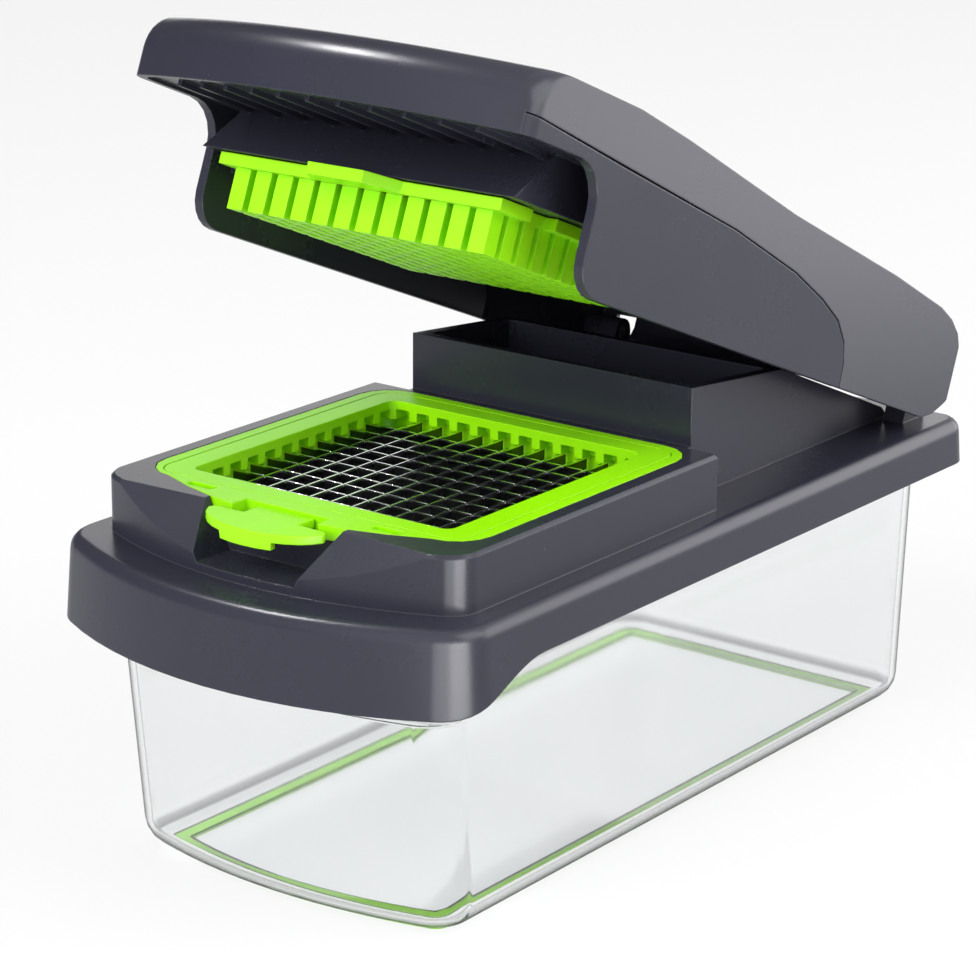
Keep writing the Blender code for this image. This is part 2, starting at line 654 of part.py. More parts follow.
def build_latch(lime):
    """The half-round tab in front of the frame, with rounded ends, on a neck that bends at the notch."""
    shoulder_y = CROWN_FRONT - TAB_SHOULDER
    root_y = NOTCH_REAR - GAP
    foot_z = TAB_TOP_Z - TAB_THICKNESS
    half_disc = arc((0, shoulder_y), TAB_REACH, math.pi, math.tau, 14)
    curve_end = shoulder_y - 1.5 * TAB_CORNER
    disc = [(x * TAB_HALF_WIDTH / TAB_REACH, y) for x, y in half_disc if y < curve_end]
    corner_x = TAB_HALF_WIDTH * math.sqrt(1 - (TAB_CORNER / TAB_REACH) ** 2) - TAB_CORNER
    corner_y = shoulder_y - TAB_CORNER
    outline = arc((-corner_x, corner_y), TAB_CORNER, math.pi / 2, math.pi, 4) + disc
    outline += arc((corner_x, corner_y), TAB_CORNER, 0, math.pi / 2, 4)
    outline += [(NECK_HALF_WIDTH, shoulder_y), (NECK_HALF_WIDTH, root_y)]
    outline += [(-NECK_HALF_WIDTH, root_y), (-NECK_HALF_WIDTH, shoulder_y)]
    tab = upright("latch_tab", outline, foot_z, TAB_TOP_Z, lime)
    share = (TAB_REACH - TAB_LIP_WALL) / TAB_REACH
    lip = [(x, y) for x, y in disc if abs(x) < TAB_LIP_HALF_WIDTH]
    lip += [(x, shoulder_y + (y - shoulder_y) * share) for x, y in lip[::-1]]
    lip_block = upright("lip", lip, TAB_TOP_Z - TAB_LIP_DROP, TAB_TOP_Z - TAB_THICKNESS / 2)
    join(tab, lip_block)
    hang("latch_axis", (0, root_y, foot_z), 0, [tab, lip_block])


def build_pins(steel):
    """The two steel hinge pins, one through each ear of the base and into the lid's boss."""
    middle = EAR_INNER_X + PIN_LENGTH / 2
    rod("hinge_pin_left", PIN_LENGTH, -middle, PIN_RADIUS, steel)
    rod("hinge_pin_right", PIN_LENGTH, middle, PIN_RADIUS, steel)


def lid_block(name, inset):
    """The lid's outline as a tall block, whose front edge rolls back into the top of the handle."""
    radius = ROLL_RADIUS - inset
    roll_z = LID_TOP_Z - ROLL_RADIUS
    rings = [at_height(lid_plan(inset), LID_FOOT_Z - 2 * LID_WALL)]
    for step in range(ROLL_STEPS + 1):
        angle = math.pi / 2 * step / ROLL_STEPS
        shift = radius * (1 - math.cos(angle))
        plan = bowed_plan(
            LID_HALF_WIDTH - inset,
            LID_FRONT + inset + shift,
            LID_REAR - inset,
            LID_BOW - inset,
            LID_CORNER - inset,
            LID_REAR_CORNER - inset,
        )
        rings.append(at_height(plan, roll_z + radius * math.sin(angle)))
    return loft(name, rings)


def seam(shift):
    """The joint between the lid's cover and its body, moved towards one of them by half the gap."""
    return [(y + shift, DECK_Z + rise + shift) for y, rise in SEAM[:-1]] + [(SEAM[-1][0] + shift, LID_FOOT_Z)]


def build_cover(slate):
    """The lid's outer shell, from the handle's rounded front over the top to the bosses at the hinge."""
    over = WALL
    joint = seam(GAP / 2)
    top = [(y, DECK_Z + rise) for y, rise in LID_TOP]
    back = [(y, DECK_Z + rise) for y, rise in LID_BACK]
    outline = [(LID_FRONT - over, HANDLE_FOOT_Z), (LID_FRONT - over, LID_TOP_Z)] + top + back
    outline += [(LID_FOOT_REAR, LID_FOOT_Z)] + joint[::-1] + [(joint[0][0], HANDLE_FOOT_Z)]
    cover = across("lid_cover", outline, LID_HALF_WIDTH + over, slate)
    trim = lid_block("cover_trim", 0)
    boolean(cover, "INTERSECT", trim)
    centre_y, centre_z = LID_BACK_CENTRE[0], DECK_Z + LID_BACK_CENTRE[1]
    inner_back = []
    for y, z in back:
        away = math.hypot(y - centre_y, z - centre_z)
        inner_back.append((y - (y - centre_y) * LID_WALL / away, z - (z - centre_z) * LID_WALL / away))
    floor = LID_FOOT_Z - over
    outline = [(LID_FRONT - over, floor), (LID_FRONT - over, LID_TOP_Z - LID_WALL)]
    outline += [(y, z - LID_WALL) for y, z in top] + inner_back + [(inner_back[-1][0], floor)]
    hollow = across("cover_hollow", outline, LID_HALF_WIDTH + over)
    hollow_trim = lid_block("hollow_trim", LID_WALL)
    boolean(hollow, "INTERSECT", hollow_trim)
    slot_x = EAR_INNER_X + EAR_WIDTH + GAP
    cut_top = HINGE_Z - LID_BACK_CUT_DROP
    back_cut = box("back_cut", -slot_x, slot_x, HINGE_Y - BACK_CUT_REACH, LID_REAR + over, floor, cut_top)
    cut(cover, hollow, back_cut)
    pieces = [cover, trim, hollow, hollow_trim, back_cut]
    slot_front, slot_top = HINGE_Y - EAR_RADIUS, HINGE_Z + EAR_SLOT_RISE
    boss_end = LID_HALF_WIDTH - LID_WALL / 2
    bore_start, bore_end = slot_x - GAP, EAR_INNER_X + PIN_LENGTH + GAP
    for side, name in ((-1, "left"), (1, "right")):
        low, high = sorted((side * (EAR_INNER_X - GAP), side * slot_x))
        slot = box("ear_slot_" + name, low, high, slot_front, LID_REAR + over, floor, slot_top)
        boss = rod("boss_" + name, boss_end - slot_x, side * (slot_x + boss_end) / 2, EAR_RADIUS)
        bore_middle = side * (bore_start + bore_end) / 2
        bore = rod("boss_bore_" + name, bore_end - bore_start, bore_middle, PIN_RADIUS + GAP)
        join(cover, boss)
        cut(cover, slot, bore)
        pieces += [slot, boss, bore]
    return pieces


def build_lid_body(slate):
    """The lid's inner moulding: two cheeks, the ceiling under the cover and the pusher's seat."""
    over = WALL
    joint = seam(-GAP / 2)
    joint[0] = (SEAM[0][0] + GAP / 2, joint[0][1])
    toe = arc((CHEEK_FRONT + CHEEK_TOE, LID_FOOT_Z + CHEEK_TOE), CHEEK_TOE, math.pi * 1.5, math.pi, 5)
    flare = arc((CHEEK_FRONT - CHEEK_FLARE, HANDLE_FOOT_Z - CHEEK_FLARE), CHEEK_FLARE, 0, math.pi / 2, 5)
    outline = toe + flare + [(joint[0][0], HANDLE_FOOT_Z)] + joint
    body = across("lid_body", outline, LID_HALF_WIDTH + over, slate)
    trim = upright("cheek_trim", lid_plan(), LID_FOOT_Z - over, LID_TOP_Z + over)
    between = upright("between_cheeks", lid_plan(CHEEK_WALL), LID_FOOT_Z - 2 * over, LID_TOP_Z + 2 * over)
    boolean(body, "INTERSECT", trim)
    cut(body, between)
    ceiling_top = CEILING_Z + SEAT_WALL
    inside_x = LID_HALF_WIDTH - LID_WALL - GAP
    ceiling = upright("ceiling", lid_plan(LID_WALL + GAP), CEILING_Z, ceiling_top)
    low, high = CEILING_Z - over, ceiling_top + over
    behind = box("behind_ceiling", -LID_HALF_WIDTH, LID_HALF_WIDTH, CEILING_REAR, LID_REAR, low, high)
    cut(ceiling, behind)
    join(body, ceiling)
    lean = CEILING_Z - SEAT_Z
    tub_front = WELL_FRONT - SEAT_FRONT
    outline = [(tub_front, SEAT_Z), (SEAT_REAR, SEAT_Z), (SEAT_REAR, ceiling_top)]
    outline.append((tub_front + lean + SEAT_WALL, ceiling_top))
    tub = across("seat_tub", outline, SEAT_HALF_WIDTH)
    floor = SEAT_Z + SEAT_WALL
    rise = ceiling_top + over - floor
    hollow_front = tub_front + SEAT_WALL * (1 + math.sqrt(2))
    outline = [(hollow_front, floor), (SEAT_REAR - SEAT_WALL, floor)]
    outline += [(SEAT_REAR - SEAT_WALL, floor + rise), (hollow_front + rise, floor + rise)]
    tub_hollow = across("seat_tub_hollow", outline, SEAT_HALF_WIDTH - SEAT_WALL)
    join(body, tub)
    cut(body, tub_hollow)
    pieces = [body, trim, between, ceiling, behind, tub, tub_hollow]
    wall_front = CHEEK_FRONT + CHEEK_TOE
    wall_foot, wall_top = BED_TOP_Z + INNER_WALL_RISE, CEILING_Z + SEAT_WALL / 2
    for side, name in ((-1, "left"), (1, "right")):
        low, high = sorted((side * (inside_x - INNER_WALL), side * inside_x))
        wall = box("inner_wall_" + name, low, high, wall_front, CEILING_REAR, wall_foot, wall_top)
        join(body, wall)
        pieces.append(wall)
    rib_foot, rib_rear = CEILING_Z - HANDLE_RIB_DEPTH, tub_front + lean
    for i in range(HANDLE_RIBS):
        x = (i - (HANDLE_RIBS - 1) / 2) * HANDLE_RIB_PITCH
        low, high = x - HANDLE_RIB_WIDTH / 2, x + HANDLE_RIB_WIDTH / 2
        front = LID_FRONT + LID_BOW - math.sqrt(LID_BOW**2 - x**2) + HANDLE_RIB_SETBACK
        rib = box(f"handle_rib_{i + 1:02d}", low, high, front, rib_rear, rib_foot, wall_top)
        join(body, rib)
        pieces.append(rib)
    for i, place in enumerate(stud_places()):
        outline = circle(place, STUD_RADIUS + GAP)
        hole = upright(f"stud_hole_{i + 1}", outline, SEAT_Z - over, floor + over / 2)
        cut(body, hole)
        pieces.append(hole)
    return pieces


def stud_places():
    """The four studs that hold the pusher's flange under the lid."""
    return [(x, WELL_CENTRE_Y + y) for x in (-STUD_X, STUD_X) for y in (-STUD_Y, STUD_Y)]


def circle(centre, radius):
    """A twelve-sided round outline."""
    return arc(centre, radius, 0, math.tau * 11 / 12, 11)


def build_pusher(lime):
    """The flange that clips under the lid, with one tooth for each cell of the blade grid."""
    block_half = WELL_HALF - TOOTH_SLOT / 2
    side = block_half + FLANGE_SIDE
    front, rear = WELL_CENTRE_Y - block_half, WELL_CENTRE_Y + block_half + FLANGE_SIDE
    flange_top = TOOTH_ROOT_Z + FLANGE_THICKNESS
    teeth = bmesh.new()
    half_tooth = (DICE - TOOTH_SLOT) / 2
    middles = [(i - (CELLS - 1) / 2) * DICE for i in range(CELLS)]
    lines = [middle + edge for middle in middles for edge in (-half_tooth, half_tooth)]
    grid = [[teeth.verts.new((x, WELL_CENTRE_Y + y, TOOTH_ROOT_Z)) for x in lines] for y in lines]
    last = len(lines) - 1
    for r in range(last):
        for c in range(last):
            root = (grid[r][c], grid[r][c + 1], grid[r + 1][c + 1], grid[r + 1][c])
            if r % 2 == 0 and c % 2 == 0:
                add_tooth(teeth, root)
            else:
                teeth.faces.new(root)
    rim = grid[0] + [row[last] for row in grid[1:]] + grid[last][-2::-1] + [row[0] for row in grid[-2:0:-1]]
    buried = [teeth.verts.new((v.co.x, v.co.y, TOOTH_ROOT_Z + FLANGE_THICKNESS / 2)) for v in rim]
    for i, vertex in enumerate(rim):
        j = (i + 1) % len(rim)
        teeth.faces.new((vertex, rim[j], buried[j], buried[i]))
    teeth.faces.new(buried)
    pusher = add_object("pusher", teeth, lime)
    notch_start = front + EAR_NOTCH_START
    notch_end = notch_start + EAR_NOTCH_LENGTH
    lip = front - FLANGE_FRONT
    right = [(PULL_HALF_WIDTH, lip - PULL_REACH), (PULL_HALF_WIDTH + PULL_SLOPE, lip), (side, lip)]
    right += [(side, notch_start), (block_half, notch_start), (block_half, notch_end)]
    right += [(side, notch_end), (side, rear)]
    outline = right + [(-x, y) for x, y in right[::-1]]
    flange = upright("flange", outline, TOOTH_ROOT_Z, flange_top)
    join(pusher, flange)
    pieces = [pusher, flange]
    for i, place in enumerate(stud_places()):
        foot = flange_top - STUD_HEIGHT / 2
        stud = upright(f"stud_{i + 1}", circle(place, STUD_RADIUS), foot, flange_top + STUD_HEIGHT)
        join(pusher, stud)
        pieces.append(stud)
    return pieces


def add_tooth(made, root):
    """One square tooth, drawn down from its root to its tip."""
    tip = [made.verts.new((v.co.x, v.co.y, TOOTH_TIP_Z)) for v in root]
    for i in range(4):
        j = (i + 1) % 4
        made.faces.new((root[i], root[j], tip[j], tip[i]))
    made.faces.new(tip)


def hang(name, place, turn, pieces):
    """Hangs pieces on an empty at their joint's axis, and turns it about X."""
    axis = bpy.data.objects.new(name, None)
    axis.location = place
    axis.rotation_euler = (turn, 0, 0)
    bpy.context.scene.collection.objects.link(axis)
    for piece in pieces:
        piece.data.transform(Matrix.Translation(-Vector(place)))
        piece.parent = axis


def main():
    for old in list(bpy.data.objects):
        bpy.data.objects.remove(old, do_unlink=True)
    slate = material("slate_plastic", (0.055, 0.054, 0.068), 0.32)
    lime = material("lime_plastic", (0.36, 0.86, 0.005), 0.38)
    clear = material("clear_plastic", (0.92, 0.93, 0.94), 0.06, 0.0, 0.95)
    rubber = material("lime_rubber", (0.36, 0.86, 0.005), 0.7)
    steel = material("blade_steel", (0.62, 0.63, 0.65), 0.28, 1.0)
    build_box(clear, rubber)
    base = build_skirt(slate)
    add_bed(base)
    add_pocket(base)
    add_ears(base)
    build_pins(steel)
    build_blade_holder(lime)
    build_blades(steel)
    build_latch(lime)
    lid = build_cover(slate) + build_lid_body(slate) + build_pusher(lime)
    hang("lid_axis", (0, HINGE_Y, HINGE_Z), -LID_OPEN, lid)


main()
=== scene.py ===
import json
import math

import bpy
from mathutils import Matrix, Vector

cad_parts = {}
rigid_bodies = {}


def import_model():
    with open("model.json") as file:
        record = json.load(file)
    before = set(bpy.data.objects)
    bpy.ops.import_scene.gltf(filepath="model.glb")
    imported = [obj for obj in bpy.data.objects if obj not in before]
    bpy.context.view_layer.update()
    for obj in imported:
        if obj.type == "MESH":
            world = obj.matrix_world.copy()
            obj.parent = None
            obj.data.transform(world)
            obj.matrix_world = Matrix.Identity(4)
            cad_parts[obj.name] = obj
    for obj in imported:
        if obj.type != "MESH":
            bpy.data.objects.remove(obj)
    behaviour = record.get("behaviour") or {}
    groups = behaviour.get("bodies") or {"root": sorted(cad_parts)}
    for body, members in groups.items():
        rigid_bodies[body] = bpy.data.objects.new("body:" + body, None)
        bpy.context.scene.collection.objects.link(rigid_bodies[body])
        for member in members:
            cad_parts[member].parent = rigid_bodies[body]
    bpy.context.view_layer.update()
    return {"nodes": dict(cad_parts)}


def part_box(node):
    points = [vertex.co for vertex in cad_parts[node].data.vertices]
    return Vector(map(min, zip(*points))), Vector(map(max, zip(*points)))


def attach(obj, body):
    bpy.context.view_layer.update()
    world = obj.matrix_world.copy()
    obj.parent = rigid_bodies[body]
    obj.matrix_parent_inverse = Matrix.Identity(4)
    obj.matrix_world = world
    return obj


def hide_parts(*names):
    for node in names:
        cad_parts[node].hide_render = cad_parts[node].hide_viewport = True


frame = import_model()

# --- Clear box -------------------------------------------------------------
# The box that catches the chopped food. It is injection moulded in one clear
# plastic wall, with a rounded foot, and the base sits on its rim.

BOX_ROUNDING = 0.0005
CLEAR_TINT = ((0.93, 0.945, 0.95), (0.97, 0.975, 0.98))
CLEAR_ROUGHNESS = (0.02, 0.07)
FOOT_BAND_Z = 0.0055
FOOT_BAND_FADE = 0.0015
FOOT_BAND_SHARE = 0.7
FOOT_GREY = (0.2, 0.205, 0.21)
PAINTED_OUTLINE_GREY = (0.06, 0.065, 0.07)
PAINTED_OUTLINE_SHARE = 0.6
SHADOW_TINT = (0.9, 0.91, 0.92)


def alone(piece):
    """Select one piece and nothing else, so that an operator acts on it only."""
    for other in bpy.context.view_layer.objects:
        other.select_set(other == piece)
    bpy.context.view_layer.objects.active = piece


def skin_of(node, name, material):
    """A copy of a solid's skin as a piece of its own, merged and in large faces."""
    piece = bpy.data.objects.new(name, frame["nodes"][node].data.copy())
    bpy.context.scene.collection.objects.link(piece)
    alone(piece)
    bpy.ops.mesh.customdata_custom_splitnormals_clear()
    bpy.ops.object.mode_set(mode="EDIT")
    bpy.ops.mesh.select_all(action="SELECT")
    bpy.ops.mesh.remove_doubles(threshold=0.00001)
    bpy.ops.mesh.dissolve_limited(angle_limit=math.radians(0.5))
    bpy.ops.object.mode_set(mode="OBJECT")
    piece.data.materials.clear()
    piece.data.materials.append(material)
    return piece


def round_edges(piece, width, segments=2, angle=30):
    """Round a moulding's sharp edges by a bevel, and let the flats keep their shade."""
    alone(piece)
    bevel = piece.modifiers.new("rounding", "BEVEL")
    bevel.width = width
    bevel.segments = segments
    bevel.limit_method = "ANGLE"
    bevel.angle_limit = math.radians(angle)
    bevel.miter_outer = "MITER_ARC"
    bpy.ops.object.modifier_apply(modifier=bevel.name)
    bpy.ops.object.shade_smooth_by_angle(angle=math.radians(angle))
    weight = piece.modifiers.new("flats", "WEIGHTED_NORMAL")
    weight.keep_sharp = True
    bpy.ops.object.modifier_apply(modifier=weight.name)


def new_material(name):
    """An empty material with its node tree and its Principled shader."""
    made = bpy.data.materials.new(name)
    made.use_nodes = True
    tree = made.node_tree
    return made, tree, tree.nodes["Principled BSDF"]


def add_math(tree, operation, *operands):
    """A sum on sockets and numbers."""
    node = tree.nodes.new("ShaderNodeMath")
    node.operation = operation
    for socket, operand in zip(node.inputs, operands):
        if isinstance(operand, (int, float)):
            socket.default_value = operand
        else:
            tree.links.new(operand, socket)
    return node.outputs["Value"]


def add_range(tree, value, given, wanted, smooth=False):
    """A value taken from the given range to the wanted one, in a line or smoothly."""
    node = tree.nodes.new("ShaderNodeMapRange")
    node.interpolation_type = "SMOOTHSTEP" if smooth else "LINEAR"
    for socket, number in zip(("From Min", "From Max", "To Min", "To Max"), (*given, *wanted)):
        node.inputs[socket].default_value = number
    tree.links.new(value, node.inputs["Value"])
    return node.outputs["Result"]


def add_noise(tree, place, scale, detail, roughness=0.5):
    """Cloudy noise over a place, in lumps of one unit through scale."""
    node = tree.nodes.new("ShaderNodeTexNoise")
    node.inputs["Scale"].default_value = scale
    node.inputs["Detail"].default_value = detail
    node.inputs["Roughness"].default_value = roughness
    tree.links.new(place, node.inputs["Vector"])
    return node.outputs["Fac"]


def add_ramp(tree, value, first, last, start=0.0, end=1.0):
    """Colours from first to last while a value goes from start to end."""
    node = tree.nodes.new("ShaderNodeValToRGB")
    for stop, position, colour in zip(node.color_ramp.elements, (start, end), (first, last)):
        stop.position = position
        stop.color = (*colour, 1)
    tree.links.new(value, node.inputs["Fac"])
    return node.outputs["Color"]


def add_blend(tree, factor, first, second):
    """A blend of two colours. The second is a socket or a plain colour."""
    node = tree.nodes.new("ShaderNodeMix")
    node.data_type = "RGBA"
    tree.links.new(factor, node.inputs["Factor"])
    tree.links.new(first, node.inputs["A"])
    if isinstance(second, tuple):
        node.inputs["B"].default_value = (*second, 1)
    else:
        tree.links.new(second, node.inputs["B"])
    return node.outputs["Result"]


def add_shader_blend(tree, factor, first, second):
    """A blend of two shaders."""
    node = tree.nodes.new("ShaderNodeMixShader")
    tree.links.new(factor, node.inputs["Fac"])
    tree.links.new(first, node.inputs[1])
    tree.links.new(second, node.inputs[2])
    return node.outputs["Shader"]


def axis_of(tree, vector, axis):
    """One coordinate of a vector."""
    node = tree.nodes.new("ShaderNodeSeparateXYZ")
    tree.links.new(vector, node.inputs["Vector"])
    return node.outputs[axis]


clear_plastic, tree, shader = new_material("clear_plastic")
shader.inputs["IOR"].default_value = 1.49
shader.inputs["Transmission Weight"].default_value = 1.0
place = tree.nodes.new("ShaderNodeTexCoord").outputs["Object"]
flow = add_noise(tree, place, scale=28.0, detail=2.0)
normal_z = axis_of(tree, tree.nodes.new("ShaderNodeNewGeometry").outputs["Normal"], "Z")
side_wall = add_math(tree, "LESS_THAN", add_math(tree, "ABSOLUTE", normal_z), 0.8)
foot_fade = (FOOT_BAND_Z, FOOT_BAND_Z - FOOT_BAND_FADE)
foot_band = add_range(tree, axis_of(tree, place, "Z"), foot_fade, (0.0, FOOT_BAND_SHARE), smooth=True)
colour = add_blend(
    tree, add_math(tree, "MULTIPLY", foot_band, side_wall), add_ramp(tree, flow, *CLEAR_TINT), FOOT_GREY
)
tree.links.new(colour, shader.inputs["Base Color"])
tree.links.new(add_range(tree, flow, (0.0, 1.0), CLEAR_ROUGHNESS), shader.inputs["Roughness"])
ripple = tree.nodes.new("ShaderNodeBump")
ripple.inputs["Strength"].default_value = 0.05
ripple.inputs["Distance"].default_value = 0.0004
tree.links.new(flow, ripple.inputs["Height"])
tree.links.new(ripple.outputs["Normal"], shader.inputs["Normal"])

# Light that runs a long way inside a wall leaves its outline grey. That grey is painted shade: a dull
# grey mixed in where a side wall is seen edge-on.
grazing = tree.nodes.new("ShaderNodeLayerWeight")
grazing.inputs["Blend"].default_value = 0.5
long_way = add_range(tree, grazing.outputs["Facing"], (0.58, 0.86), (0.0, 1.0), smooth=True)
outline = add_math(tree, "MULTIPLY", long_way, side_wall)
dim = tree.nodes.new("ShaderNodeBsdfDiffuse")
dim.inputs["Color"].default_value = (*PAINTED_OUTLINE_GREY, 1)
outline_share = add_math(tree, "MULTIPLY", outline, PAINTED_OUTLINE_SHARE)
walls = add_shader_blend(tree, outline_share, shader.outputs["BSDF"], dim.outputs["BSDF"])
passed = tree.nodes.new("ShaderNodeBsdfTransparent")
passed.inputs["Color"].default_value = (*SHADOW_TINT, 1)
shadow_ray = tree.nodes.new("ShaderNodeLightPath").outputs["Is Shadow Ray"]
lit = add_shader_blend(tree, shadow_ray, walls, passed.outputs["BSDF"])
tree.links.new(lit, tree.nodes["Material Output"].inputs["Surface"])

box = skin_of("container", "clear_box", clear_plastic)
round_edges(box, BOX_ROUNDING)
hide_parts("container")
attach(box, "box")

# --- Base ------------------------------------------------------------------
# The slate body that clips over the box: skirt, raised bed for the blades,
# finger recess and the pocket at the rear, all one satin moulding.

BASE_ROUNDING = 0.0004


def moulded_group():
    """Fine moulding grain, slow colour drift and rubbed edges, for all the plastics."""
    group = bpy.data.node_groups.new("moulded_surface", "ShaderNodeTree")
    side = group.interface
    for name, kind, value in (
        ("Colour", "NodeSocketColor", (0.5, 0.5, 0.5, 1)),
        ("Rubbed", "NodeSocketColor", (0.7, 0.7, 0.7, 1)),
        ("Roughness", "NodeSocketFloat", 0.35),
        ("Grain", "NodeSocketFloat", 0.05),
        ("Edge", "NodeSocketFloat", 0.0005),
    ):
        side.new_socket(name, in_out="INPUT", socket_type=kind).default_value = value
    for name, kind in (
        ("Colour", "NodeSocketColor"),
        ("Roughness", "NodeSocketFloat"),
        ("Normal", "NodeSocketVector"),
    ):
        side.new_socket(name, in_out="OUTPUT", socket_type=kind)
    nodes, links = group.nodes, group.links
    given = nodes.new("NodeGroupInput")
    out = nodes.new("NodeGroupOutput")
    place = nodes.new("ShaderNodeTexCoord").outputs["Object"]
    drift = add_noise(group, place, scale=22.0, detail=9.0, roughness=0.65)
    grain = add_noise(group, place, scale=2600.0, detail=1.0)

    bevel = nodes.new("ShaderNodeBevel")
    bevel.samples = 4
    links.new(given.outputs["Edge"], bevel.inputs["Radius"])
    bump = nodes.new("ShaderNodeBump")
    bump.inputs["Distance"].default_value = 0.00004
    links.new(given.outputs["Grain"], bump.inputs["Strength"])
    links.new(grain, bump.inputs["Height"])
    links.new(bevel.outputs["Normal"], bump.inputs["Normal"])
    links.new(bump.outputs["Normal"], out.inputs["Normal"])

    # Where the rounded normal turns away from the face's own, the edge is rubbed.
    turned = nodes.new("ShaderNodeVectorMath")
    turned.operation = "DOT_PRODUCT"
    links.new(bevel.outputs["Normal"], turned.inputs[0])
    links.new(nodes.new("ShaderNodeNewGeometry").outputs["Normal"], turned.inputs[1])
    rubbed = add_range(group, turned.outputs["Value"], (0.99, 0.86), (0.0, 0.55))

    tone = add_range(group, drift, (0.3, 0.7), (0.955, 1.045))
    tinted = nodes.new("ShaderNodeVectorMath")
    tinted.operation = "SCALE"
    links.new(given.outputs["Colour"], tinted.inputs[0])
    links.new(tone, tinted.inputs["Scale"])
    worn = add_blend(group, rubbed, tinted.outputs["Vector"], given.outputs["Rubbed"])
    links.new(worn, out.inputs["Colour"])
    links.new(add_math(group, "MULTIPLY", given.outputs["Roughness"], tone), out.inputs["Roughness"])
    return group


moulded_surface = moulded_group()


def plastic(name, colour, rubbed, roughness, grain, edge, specular):
    """A moulded plastic from the shared surface, with its own colour and sheen."""
    made, tree, shader = new_material(name)
    shader.inputs["Specular IOR Level"].default_value = specular
    surface = tree.nodes.new("ShaderNodeGroup")
    surface.node_tree = moulded_surface
    surface.inputs["Colour"].default_value = (*colour, 1)
    surface.inputs["Rubbed"].default_value = (*rubbed, 1)
    surface.inputs["Roughness"].default_value = roughness
    surface.inputs["Grain"].default_value = grain
    surface.inputs["Edge"].default_value = edge
    tree.links.new(surface.outputs["Colour"], shader.inputs["Base Color"])
    tree.links.new(surface.outputs["Roughness"], shader.inputs["Roughness"])
    tree.links.new(surface.outputs["Normal"], shader.inputs["Normal"])
    return made


slate_plastic = plastic(
    "slate_plastic",
    colour=(0.028, 0.028, 0.043),
    rubbed=(0.072, 0.072, 0.09),
    roughness=0.27,
    grain=0.3,
    edge=0.0005,
    specular=0.4,
)

base = skin_of("base", "slate_base", slate_plastic)
round_edges(base, BASE_ROUNDING)
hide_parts("base")
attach(base, "base")

# --- Non-slip ring ---------------------------------------------------------
# A lime rubber ring pressed into a groove under the box. It keeps the chopper
# from sliding on the worktop, and its skin is dull and a little dusty.

RING_ROUNDING = 0.0004

lime_rubber = plastic(
    "lime_rubber",
    colour=(0.28, 0.66, 0.006),
    rubbed=(0.42, 0.74, 0.09),
    roughness=0.68,
    grain=0.6,
    edge=0.0004,
    specular=0.25,
)

ring = skin_of("non_slip_ring", "rubber_ring", lime_rubber)
round_edges(ring, RING_ROUNDING)
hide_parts("non_slip_ring")
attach(ring, "box")

# --- Hinge pins ------------------------------------------------------------
# Two short stainless pins pushed through the ears at the rear, which the lid
# turns on.

PIN_ROUNDING = 0.0003


def steel(name, roughness, across, dark, bright):
    """Stainless with the fine lines that drawing or grinding leaves."""
    made, tree, shader = new_material(name)
    shader.inputs["Metallic"].default_value = 1.0
    lay = tree.nodes.new("ShaderNodeMapping")
    lay.inputs["Scale"].default_value = across
    tree.links.new(tree.nodes.new("ShaderNodeTexCoord").outputs["Object"], lay.inputs["Vector"])
    lines = add_noise(tree, lay.outputs["Vector"], scale=900.0, detail=3.0)
    dark_steel = (dark, dark, dark * 1.04)
    bright_steel = (bright, bright, bright * 1.03)
    tone = add_ramp(tree, lines, dark_steel, bright_steel, start=0.3, end=0.75)
    tree.links.new(tone, shader.inputs["Base Color"])
    rough = add_range(tree, lines, (0.0, 1.0), (roughness * 0.7, roughness * 1.4))
    tree.links.new(rough, shader.inputs["Roughness"])
    return made, tree, shader


pin_steel = steel("pin_steel", roughness=0.25, across=(1, 0.1, 0.1), dark=0.55, bright=0.75)[0]
for side in ("left", "right"):
    pin = skin_of(f"hinge_pin_{side}", f"pin_{side}", pin_steel)
    round_edges(pin, PIN_ROUNDING, angle=40)
    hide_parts(f"hinge_pin_{side}")
    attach(pin, "base")

# --- Blade insert ----------------------------------------------------------
# The lime frame that lifts out with the blades: the frame with its crown, the
# clamp ring that holds the strips down, and the latch tab on its thin neck.

INSERT_ROUNDING = 0.0003

lime_plastic = plastic(
    "lime_plastic",
    colour=(0.31, 0.8, 0.001),
    rubbed=(0.46, 0.9, 0.02),
    roughness=0.4,
    grain=0.35,
    edge=0.0004,
    specular=0.35,
)

for node, name in (("blade_frame", "lime_frame"), ("blade_clamp_ring", "lime_clamp")):
    piece = skin_of(node, name, lime_plastic)
    round_edges(piece, INSERT_ROUNDING)
    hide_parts(node)
    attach(piece, "blade_insert")

tab = skin_of("latch_tab", "lime_tab", lime_plastic)
round_edges(tab, INSERT_ROUNDING)
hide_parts("latch_tab")
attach(tab, "latch")

# --- Blades ----------------------------------------------------------------
# Two crossing rows of eleven stainless strips, halved into each other and
# ground sharp along their upper edge.

STRIP_ROUNDING = 0.00012
GROUND_START = 0.0006
GROUND_FULL = 0.0004
GROUND_STEEL_AND_HIGHLIGHT = (0.86, 0.87, 0.89)
GROUND_ROUGHNESS = 0.18

edge_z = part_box("cross_blade_01")[1].z


